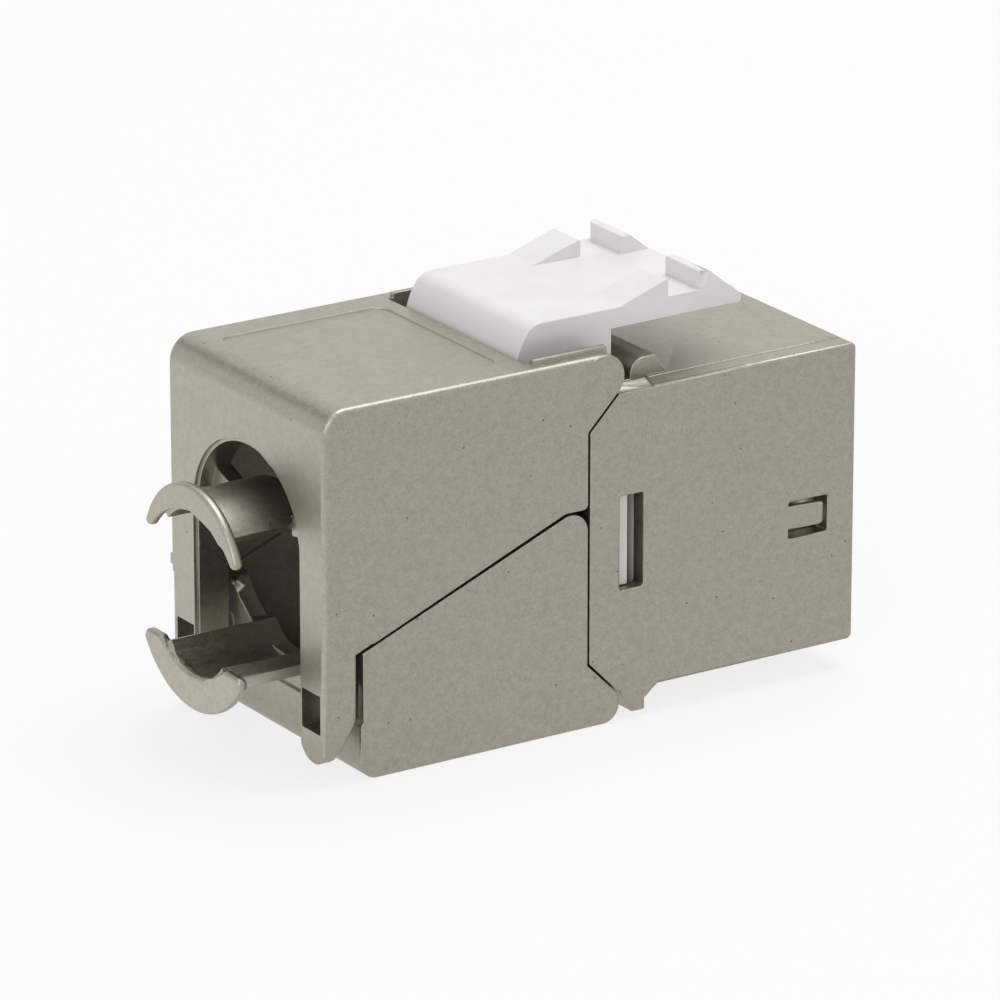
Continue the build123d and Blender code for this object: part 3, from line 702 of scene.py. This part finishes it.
def faults(piece: bpy.types.Object, old_surface: BVHTree, radius: float) -> list[Vector]:
    """Find where a rounded mesh crosses itself or leaves its old surface.

    Args:
        piece: The piece, with its corners rounded.
        old_surface: Search tree of the mesh before that.
        radius: Width of the round in millimetres.

    Returns:
        The faulty places, in metres.
    """
    mesh = piece.data
    mesh.calc_loop_triangles()
    covered = [0.0] * len(mesh.polygons)
    for triangle in mesh.loop_triangles:
        covered[triangle.polygon_index] += triangle.area
    spots = []
    for polygon in mesh.polygons:
        if len(polygon.vertices) > 4 and covered[polygon.index] > polygon.area * OVERLAP:
            spots += crossings(mesh, polygon)
    for vertex in mesh.vertices:
        if old_surface.find_nearest(vertex.co)[3] > radius * STRAY_SHARE * MM:
            spots.append(vertex.co.copy())
    return spots


def touches(edge: bmesh.types.BMEdge, spots: list[Vector], reach: float) -> bool:
    """Tell whether an edge passes near any of the spots.

    Args:
        edge: Edge of the mesh.
        spots: The places, in metres.
        reach: How near counts, in metres.

    Returns:
        True where it does.
    """
    start, end = edge.verts[0].co, edge.verts[1].co
    for spot in spots:
        nearest, share = intersect_point_line(spot, start, end)
        if share < 0:
            nearest = start
        elif share > 1:
            nearest = end
        if (nearest - spot).length < reach:
            return True
    return False


def round_corners(
    piece: bpy.types.Object,
    radius: float,
    segments: int,
    rear_of: float = math.inf,
    room_share: float = 1.5,
    upright: bool = True,
) -> None:
    """Round the outer corners of a piece where they have room, and leave out those that would fold.

    Args:
        piece: The piece.
        radius: Width of the round in millimetres.
        segments: Steps in the round.
        rear_of: Only edges behind this X are rounded, in millimetres.
        room_share: Flat surface that a round needs beside it, in widths of the round.
        upright: Whether upright edges are rounded too.
    """
    plain = piece.data.copy()
    spots: list[Vector] = []
    last_rounded = -1
    for _ in range(ROUND_TRIES):
        mesh = bmesh.new()
        mesh.from_mesh(plain)
        surface = BVHTree.FromBMesh(mesh)
        weight = mesh.edges.layers.float.new("bevel_weight_edge")
        rounded = 0
        for edge in mesh.edges:
            behind = max(vertex.co.x for vertex in edge.verts) < rear_of * MM
            stands = abs((edge.verts[1].co - edge.verts[0].co).normalized().z) > UPRIGHT_EDGE
            fits = behind and (upright or not stands) and has_room(edge, surface, radius * room_share * MM)
            if fits and not touches(edge, spots, radius * FAULT_REACH * MM):
                edge[weight] = 1.0
                rounded += 1
        mesh.to_mesh(piece.data)
        mesh.free()
        shape = {
            "width": radius * MM,
            "segments": segments,
            "limit_method": "WEIGHT",
            "use_clamp_overlap": False,
        }
        apply_modifier(piece, "BEVEL", shape)
        new_spots = faults(piece, surface, radius)
        log.info("%s: %s edges rounded, %s faults", piece.name, rounded, len(new_spots))
        if not new_spots or rounded == last_rounded:
            break
        last_rounded = rounded
        spots += new_spots
        piece.data = plain.copy()
    attribute = piece.data.attributes.get("bevel_weight_edge")
    if attribute:
        piece.data.attributes.remove(attribute)


def join_flat_faces(piece: bpy.types.Object) -> None:
    """Join the triangles of each flat face of a piece.

    Args:
        piece: The piece.
    """
    choose(piece)
    bpy.ops.object.mode_set(mode="EDIT")
    bpy.ops.mesh.select_all(action="SELECT")
    bpy.ops.mesh.dissolve_limited(angle_limit=math.radians(FLAT_ANGLE))
    bpy.ops.object.mode_set(mode="OBJECT")


def smooth_surface(piece: bpy.types.Object) -> None:
    """Shade the rounds of a piece smoothly and keep its flats flat.

    Args:
        piece: The piece.
    """
    choose(piece)
    bpy.ops.object.shade_smooth_by_angle(angle=math.radians(SMOOTH_ANGLE))
    apply_modifier(piece, "WEIGHTED_NORMAL", {"weight": 60, "keep_sharp": True})


def prism(name: str, corners: list[tuple[float, float]], low: float, high: float) -> bpy.types.Object:
    """Extrude a flat outline along X.

    Args:
        name: Name of the solid.
        corners: Y and Z of the outline's corners in millimetres.
        low: X where it starts, in millimetres.
        high: X where it ends, in millimetres.

    Returns:
        The closed solid.
    """
    mesh = bpy.data.meshes.new(name)
    points = [(low * MM, across * MM, height * MM) for across, height in corners]
    mesh.from_pydata(points, [], [tuple(range(len(points)))])
    solid = bpy.data.objects.new(name, mesh)
    bpy.context.scene.collection.objects.link(solid)
    choose(solid)
    bpy.ops.object.mode_set(mode="EDIT")
    bpy.ops.mesh.select_all(action="SELECT")
    bpy.ops.mesh.extrude_region_move(TRANSFORM_OT_translate={"value": ((high - low) * MM, 0, 0)})
    bpy.ops.mesh.select_all(action="SELECT")
    bpy.ops.mesh.normals_make_consistent(inside=False)
    bpy.ops.object.mode_set(mode="OBJECT")
    return solid


def put_in_order(piece: bpy.types.Object) -> None:
    """Rebuild a mesh with its points and faces in a fixed order, so that each run gives the same mesh.

    Args:
        piece: The piece.
    """
    mesh = piece.data
    places = [tuple(vertex.co) for vertex in mesh.vertices]
    order = sorted(range(len(places)), key=places.__getitem__)
    rank = {old: new for new, old in enumerate(order)}
    faces = []
    for polygon in mesh.polygons:
        loop = [rank[index] for index in polygon.vertices]
        first = loop.index(min(loop))
        faces.append(tuple(loop[first:] + loop[:first]))
    ordered = bpy.data.meshes.new(mesh.name)
    ordered.from_pydata([places[old] for old in order], [], sorted(faces))
    piece.data = ordered


def combine(piece: bpy.types.Object, tool: bpy.types.Object, operation: Operation) -> None:
    """Join a solid to a piece or cut it away, delete it, and put the piece's mesh in order.

    Args:
        piece: The piece.
        tool: The solid that is joined or cut.
        operation: Whether it is joined or cut.
    """
    apply_modifier(piece, "BOOLEAN", {"object": tool, "operation": operation.value, "solver": "EXACT"})
    bpy.data.objects.remove(tool)
    put_in_order(piece)


def other_side(corners: list[tuple[float, float]]) -> list[tuple[float, float]]:
    """Mirror an outline across the middle plane."""
    return [(-across, height) for across, height in corners]


@dataclass
class UpperHood:
    """The upper hood, whose arch, toes, webs and nub are fuller than those of its solid."""

    edge_round: float = 0.07
    edge_steps: int = 2
    rim_round: float = 0.2
    rim_steps: int = 3
    rim_front: float = -16.3
    wall_rear: float = -15.5
    wall_front: float = -13.62
    arch_half_width: float = 4.87
    arch_foot: float = 11.3
    arch_rise: float = 4.42
    rim_width: float = 0.18
    arch_steps: int = 40
    # A cutting solid starts this far behind the wall or ends this far in front of it.
    clear_rear: float = 1.0
    crown_front: float = 0.5
    web_rear: float = 0.3
    toe_front: float = 0.2
    # This much keeps two surfaces apart that would otherwise lie in one plane.
    sliver: float = 0.002
    fill_half_width: float = 5.7
    fill_top: float = 16.9
    tongue_top: float = 13.9
    web_depth: float = 1.0
    web_top: float = 14.1
    web_bottom: float = 11.0
    web_inner_edge: tuple[tuple[float, float], ...] = (
        (2.49, 11.77),
        (3.085, 12.32),
        (2.86, 12.55),
        (2.7, 12.69),
        (2.7, 13.3),
    )
    leg_bottom: float = 1.0
    toe_round: float = 1.3
    toe_steps: int = 12
    nub_rear: float = -15.4
    nub_front: float = -14.9
    nub_outline: tuple[tuple[float, float], ...] = ((7.0, 7.25), (7.57, 7.38), (7.57, 7.86), (7.0, 8.0))

    def build(self, material: bpy.types.Material) -> None:
        """Build the hood from its solid, with arch, webs, toes and nub reshaped.

        Args:
            material: Its finish.
        """
        piece = joined_copy("upper_hood", "upper_hood_casting")
        self.trim_webs(piece)
        self.reshape_arch(piece)
        self.round_toes(piece)
        self.extend_nub(piece)
        join_flat_faces(piece)
        round_corners(piece, self.rim_round, self.rim_steps, self.rim_front)
        round_corners(piece, self.edge_round, self.edge_steps)
        smooth_surface(piece)
        finish_piece(piece, Body.UPPER_HOOD, material)
        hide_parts("upper_hood")

    def arch(self, grow: float, lowest: float = -math.inf) -> list[tuple[float, float]]:
        """Give the round of the arch from one side to the other.

        Args:
            grow: How much wider the arch is made all round, in millimetres.
            lowest: Height under which the round is left out.

        Returns:
            Y and Z of its points.
        """
        width, rise = self.arch_half_width + grow, self.arch_rise + grow
        turns = [math.pi * step / self.arch_steps for step in range(self.arch_steps + 1)]
        points = [(width * math.cos(turn), self.arch_foot + rise * math.sin(turn)) for turn in turns]
        return [point for point in points if point[1] >= lowest]

    def reshape_arch(self, piece: bpy.types.Object) -> None:
        """Fill the old shoulders of the arch, then cut the crown and its rim to the new round.

        Args:
            piece: The hood.
        """
        side, top, rear = self.fill_half_width, self.fill_top, self.wall_rear - self.clear_rear
        ring = self.arch(0.0) + [(-side, self.arch_foot), (-side, top), (side, top), (side, self.arch_foot)]
        filling = prism("arch_filling", ring, self.wall_rear + self.sliver, self.wall_front - self.sliver)
        combine(piece, filling, Operation.JOIN)
        round_top = self.arch(0.0, self.tongue_top)
        crown = prism("arch_crown", round_top, rear, self.wall_front + self.crown_front)
        combine(piece, crown, Operation.CUT)
        rim = self.arch(self.rim_width) + self.arch(-self.rim_width)[::-1]
        groove = prism("arch_rim", rim, rear, self.wall_rear + self.rim_width)
        combine(piece, groove, Operation.CUT)

    def trim_webs(self, piece: bpy.types.Object) -> None:
        """Set the rear of both webs back into the arch, beside the tongue.

        Args:
            piece: The hood.
        """
        inner, outer = self.web_inner_edge[0][0], self.arch_half_width - self.sliver
        outline = list(self.web_inner_edge)
        outline += [(outer, self.web_top), (outer, self.web_bottom), (inner, self.web_bottom)]
        rear, front = self.wall_rear - self.web_rear, self.wall_rear + self.web_depth
        for corners in (outline, other_side(outline)):
            combine(piece, prism("web_trim", corners, rear, front), Operation.CUT)

    def round_toes(self, piece: bpy.types.Object) -> None:
        """Take the inner corner off the foot of each leg with a full round.

        Args:
            piece: The hood.
        """
        radius = self.toe_round
        centre = (self.arch_half_width + radius, self.leg_bottom + radius)
        turns = [math.pi + math.pi / 2 * step / self.toe_steps for step in range(self.toe_steps + 1)]
        arc = [(centre[0] + radius * math.cos(turn), centre[1] + radius * math.sin(turn)) for turn in turns]
        # The cut runs one millimetre past the leg below and on its inner side.
        low, inner = self.leg_bottom - 1, self.arch_half_width - 1
        outline = arc + [(centre[0], low), (inner, low), (inner, centre[1])]
        rear, front = self.wall_rear - self.clear_rear, self.wall_front + self.toe_front
        for corners in (outline, other_side(outline)):
            combine(piece, prism("toe_trim", corners, rear, front), Operation.CUT)

    def extend_nub(self, piece: bpy.types.Object) -> None:
        """Carry the pip on the far leg back to the leg's rear corner."""
        tool = prism("nub", list(self.nub_outline), self.nub_rear, self.nub_front)
        combine(piece, tool, Operation.JOIN)


@dataclass
class PlainCastings:
    """The housing and the lower hood, two nickel plated castings with rounded corners."""

    edge_round: float = 0.07
    edge_steps: int = 2
    rim_round: float = 0.2
    rim_steps: int = 3
    rim_front: float = -16.3

    def build(self, material: bpy.types.Material) -> None:
        """Build both castings.

        Args:
            material: Their finish.
        """
        pieces = (
            ("front_housing", "housing_casting", Body.HOUSING),
            ("lower_hood", "lower_hood_casting", Body.LOWER_HOOD),
        )
        for node, name, body in pieces:
            piece = joined_copy(node, name)
            join_flat_faces(piece)
            round_corners(piece, self.rim_round, self.rim_steps, self.rim_front)
            round_corners(piece, self.edge_round, self.edge_steps)
            smooth_surface(piece)
            finish_piece(piece, body, material)
            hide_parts(node)


@dataclass
class LatchClip:
    """The white latch on top of the hood."""

    edge_round: float = 0.1
    round_steps: int = 3
    room_share: float = 2.5

    def build(self, material: bpy.types.Material) -> None:
        """Build the latch with its moulded edge rounds.

        Args:
            material: Its finish.
        """
        piece = joined_copy("latch_clip", "latch_moulding")
        join_flat_faces(piece)
        # The halves of the mould part upwards and leave the upright edges sharp.
        round_corners(piece, self.edge_round, self.round_steps, room_share=self.room_share, upright=False)
        smooth_surface(piece)
        finish_piece(piece, Body.LATCH, material)
        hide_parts("latch_clip")


@dataclass
class SolderJoints:
    """Beads of solder where the contacts and the blades pass through the board."""

    contact_count: int = 8
    terminal_count: int = 8
    contact_thickness: float = 0.28
    sides: int = 14
    smooth_angle: float = 50.0
    rings: tuple[tuple[float, float], ...] = (
        (0.45, 0.0),
        (0.4, 0.06),
        (0.345, 0.16),
        (0.31, 0.3),
        (0.2, 0.35),
    )

    def build(self, material: bpy.types.Material) -> None:
        """Model one bead and set a copy of it round every tail.

        Args:
            material: Finish of the beads.
        """
        bead = self.model_bead()
        for number in range(1, self.contact_count + 1):
            low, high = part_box(f"contact_spring_{number}")
            tail = Vector((low.x + self.contact_thickness / 2 * MM, (low.y + high.y) / 2, 0.0))
            self.place_copy(bead, f"solder_joint_contact_{number}", tail, True, material)
        for number in range(1, self.terminal_count + 1):
            low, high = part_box(f"idc_terminal_{number}")
            tail = Vector(((low.x + high.x) / 2, (low.y + high.y) / 2, 0.0))
            board_low, board_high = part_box("circuit_board")
            stands_up = (low.z + high.z) > (board_low.z + board_high.z)
            self.place_copy(bead, f"solder_joint_blade_{number}", tail, stands_up, material)
        bpy.data.objects.remove(bead)

    def model_bead(self) -> bpy.types.Object:
        """Model one bead, drawn out ring by ring from its foot.

        Returns:
            The bead, standing on the origin.
        """
        deselect_all()
        foot, height = self.rings[0]
        bpy.ops.mesh.primitive_circle_add(vertices=self.sides, radius=foot * MM, fill_type="NGON")
        bead = bpy.context.active_object
        bpy.ops.object.mode_set(mode="EDIT")
        bpy.ops.mesh.select_mode(type="FACE")
        bpy.ops.mesh.select_all(action="SELECT")
        width = foot
        for next_width, next_height in self.rings[1:]:
            rise = (next_height - height) * MM
            bpy.ops.mesh.extrude_region_move(TRANSFORM_OT_translate={"value": (0, 0, rise)})
            ratio = next_width / width
            bpy.ops.transform.resize(value=(ratio, ratio, 1))
            width, height = next_width, next_height
        bpy.ops.mesh.select_all(action="SELECT")
        bpy.ops.mesh.normals_make_consistent(inside=False)
        bpy.ops.object.mode_set(mode="OBJECT")
        bpy.ops.object.shade_smooth_by_angle(angle=math.radians(self.smooth_angle))
        return bead

    def place_copy(
        self, bead: bpy.types.Object, name: str, tail: Vector, below: bool, material: bpy.types.Material
    ) -> None:
        """Set a copy of the bead on one face of the board.

        Args:
            bead: The model bead.
            name: Name of the copy.
            tail: Middle of the wire's tail, seen from above.
            below: Whether the bead hangs from the board's lower face.
            material: Its finish.
        """
        low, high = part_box("circuit_board")
        face = Vector((tail.x, tail.y, low.z if below else high.z))
        turn = Matrix.Rotation(math.pi if below else 0.0, 4, "X")
        piece = bpy.data.objects.new(name, bead.data.copy())
        bpy.context.scene.collection.objects.link(piece)
        piece.data.transform(Matrix.Translation(face) @ turn)
        finish_piece(piece, Body.HOUSING, material)


@dataclass
class InnerPieces:
    """Liner, blocks, board, springs, blades and pins inside the castings."""

    contact_count: int = 8
    terminal_count: int = 8
    polymer_nodes: tuple[str, ...] = (
        "port_insert",
        "idc_block_upper",
        "idc_block_lower",
        "wire_manager_upper",
        "wire_manager_lower",
    )
    spring_nodes: tuple[str, ...] = ("ground_spring_near", "ground_spring_far")
    pin_nodes: tuple[str, ...] = ("hinge_pin_upper", "hinge_pin_lower")

    def dress_all(self, polymer: bpy.types.Material) -> None:
        """Dress every inner node.

        Args:
            polymer: Finish of the moulded pieces.
        """
        gold = DrawnMetal("gold_plated_bronze", "#e3c06c", "#c79f4c", 0.05, (0.15, 1.0, 1.0), 0.2, 0.34)
        spring = DrawnMetal("rolled_spring_steel", "#c4c2bd", "#a3a19c", 0.06, (0.12, 1.0, 1.0), 0.22, 0.38)
        pin = DrawnMetal("ground_pin_steel", "#b9b9b8", "#969695", 0.05, (1.0, 0.12, 1.0), 0.2, 0.34)
        for node in self.polymer_nodes:
            dress_node(node, polymer)
        steel = spring.material()
        for node in self.spring_nodes:
            dress_node(node, steel)
        ground = pin.material()
        for node in self.pin_nodes:
            dress_node(node, ground)
        dress_node("circuit_board", BoardLaminate().material())
        plate = gold.material()
        for number in range(1, self.contact_count + 1):
            dress_node(f"contact_spring_{number}", plate)
        for number in range(1, self.terminal_count + 1):
            dress_node(f"idc_terminal_{number}", plate)


@dataclass
class PhotoCamera:
    """Long lens that sees the jack from the cable end, a little from above."""

    place: tuple[float, float, float] = (-199.47, -305.303, 138.496)
    right: tuple[float, float, float] = (0.83785, -0.5459, 0.0001)
    up: tuple[float, float, float] = (0.18143, 0.27863, 0.9431)
    forward: tuple[float, float, float] = (0.51487, 0.79016, -0.3325)
    lens: float = 276.14
    sensor: float = 36.0

    def build(self) -> bpy.types.Object:
        """Set up the camera and make it the scene's own.

        Returns:
            The camera object.
        """
        data = bpy.data.cameras.new("photo_camera")
        data.lens = self.lens
        data.sensor_width = self.sensor
        data.clip_start = 0.01
        camera = bpy.data.objects.new("photo_camera", data)
        bpy.context.scene.collection.objects.link(camera)
        right = Vector(self.right).normalized()
        back = -Vector(self.forward).normalized()
        up = back.cross(right).normalized()
        turn = Matrix((right, up, back)).transposed().to_4x4()
        camera.matrix_world = Matrix.Translation(Vector(self.place) * MM) @ turn
        bpy.context.scene.camera = camera
        return camera


@dataclass
class Lamp:
    """One square softbox."""

    name: str
    place: tuple[float, float, float]
    aim: tuple[float, float, float]
    size: float
    power: float

    def build(self) -> None:
        """Hang the softbox and point it at its aim."""
        data = bpy.data.lights.new(self.name, "AREA")
        data.shape = "SQUARE"
        data.size = self.size * MM
        data.energy = self.power
        lamp = bpy.data.objects.new(self.name, data)
        bpy.context.scene.collection.objects.link(lamp)
        start = Vector(self.place) * MM
        lamp.location = start
        lamp.rotation_euler = (Vector(self.aim) * MM - start).to_track_quat("-Z", "Y").to_euler()


@dataclass
class Card:
    """One card beside the camera's view, which only bright metal shows."""

    name: str
    place: tuple[float, float, float]
    aim: tuple[float, float, float]
    width: float
    height: float
    level: float

    def build(self) -> None:
        """Stand the card up and turn it to its aim."""
        deselect_all()
        bpy.ops.mesh.primitive_plane_add(size=1.0)
        card = bpy.context.active_object
        card.name = self.name
        start = Vector(self.place) * MM
        card.scale = (self.width * MM, self.height * MM, 1.0)
        card.rotation_euler = (Vector(self.aim) * MM - start).to_track_quat("Z", "Y").to_euler()
        card.location = start
        material, tree = new_tree(self.name)
        paper = add_node(tree, "ShaderNodeEmission", {"Color": (1, 1, 1, 1), "Strength": self.level})
        add_node(tree, "ShaderNodeOutputMaterial", {"Surface": paper.outputs["Emission"]})
        dress(card, material)
        card.visible_camera = False
        card.visible_shadow = False
        card.visible_diffuse = False


@dataclass
class Studio:
    """White floor, white surroundings, soft lamps, a dark card and a bright one."""

    floor_size: float = 3000.0
    floor_drop: float = 0.02
    floor_colour: str = "#f4f4f3"
    floor_glow: float = 0.8
    fill_level: float = 0.42
    lamps: list[Lamp] = field(
        default_factory=lambda: [
            Lamp("overhead_softbox", (160.0, 40.0, 620.0), (0.0, 0.0, 8.0), 420.0, 2.2),
            Lamp("side_softbox", (-500.0, -440.0, 350.0), (0.0, 0.0, 8.0), 360.0, 1.0),
        ]
    )
    cards: list[Card] = field(
        default_factory=lambda: [
            Card("dark_card", (-232.0, 553.0, 420.0), (0.0, 0.0, 8.0), 260.0, 200.0, 0.1),
            Card("bright_card", (-64.0, 50.0, 0.3), (-64.0, 50.0, 100.0), 90.0, 140.0, 1.28),
        ]
    )

    def build(self) -> None:
        """Build the floor, the surroundings, the lamps and the cards."""
        self.build_floor()
        self.build_surroundings()
        for card in self.cards:
            card.build()
        for lamp in self.lamps:
            lamp.build()
            log.info("%s hung", lamp.name)

    def build_floor(self) -> None:
        """Lay a white floor that keeps the jack's soft shadow."""
        deselect_all()
        bpy.ops.mesh.primitive_plane_add(size=self.floor_size * MM, location=(0, 0, -self.floor_drop * MM))
        floor = bpy.context.active_object
        floor.name = "studio_floor"
        material, tree = new_tree("matt_white_floor")
        shown = seen_directly(tree)
        share = add_node(
            tree, "ShaderNodeMath", {0: shown, 1: self.floor_glow}, {"operation": "MULTIPLY"}
        )
        matt = add_node(tree, "ShaderNodeBsdfDiffuse", {"Color": linear(self.floor_colour)})
        glow = add_node(tree, "ShaderNodeEmission", {"Color": (1, 1, 1, 1), "Strength": 1.0})
        mix = add_node(
            tree,
            "ShaderNodeMixShader",
            {0: share.outputs[0], 1: matt.outputs["BSDF"], 2: glow.outputs["Emission"]},
        )
        add_node(tree, "ShaderNodeOutputMaterial", {"Surface": mix.outputs["Shader"]})
        dress(floor, material)

    def build_surroundings(self) -> None:
        """Surround the jack with white, seen in full by the camera and by its metal."""
        world = bpy.data.worlds.new("white_surroundings")
        bpy.context.scene.world = world
        world.use_nodes = True
        tree = world.node_tree
        tree.nodes.clear()
        shown = seen_directly(tree)
        level = add_node(
            tree,
            "ShaderNodeMapRange",
            {"Value": shown, "To Min": self.fill_level, "To Max": 1.0},
        )
        sky = add_node(
            tree, "ShaderNodeBackground", {"Color": (1, 1, 1, 1), "Strength": level.outputs["Result"]}
        )
        add_node(tree, "ShaderNodeOutputWorld", {"Surface": sky.outputs["Background"]})


def main() -> None:
    """Build the picture piece by piece."""
    logging.basicConfig(level=logging.INFO, format="%(name)s: %(message)s")
    bpy.context.scene.view_settings.view_transform = "Standard"
    PhotoCamera().build()
    Studio().build()
    nickel = SatinNickel().material()
    polymer = MouldedPolyester().material()
    UpperHood().build(nickel)
    PlainCastings().build(nickel)
    LatchClip().build(polymer)
    InnerPieces().dress_all(polymer)
    SolderJoints().build(TinSolder().material())


if __name__ == "__main__":
    main()
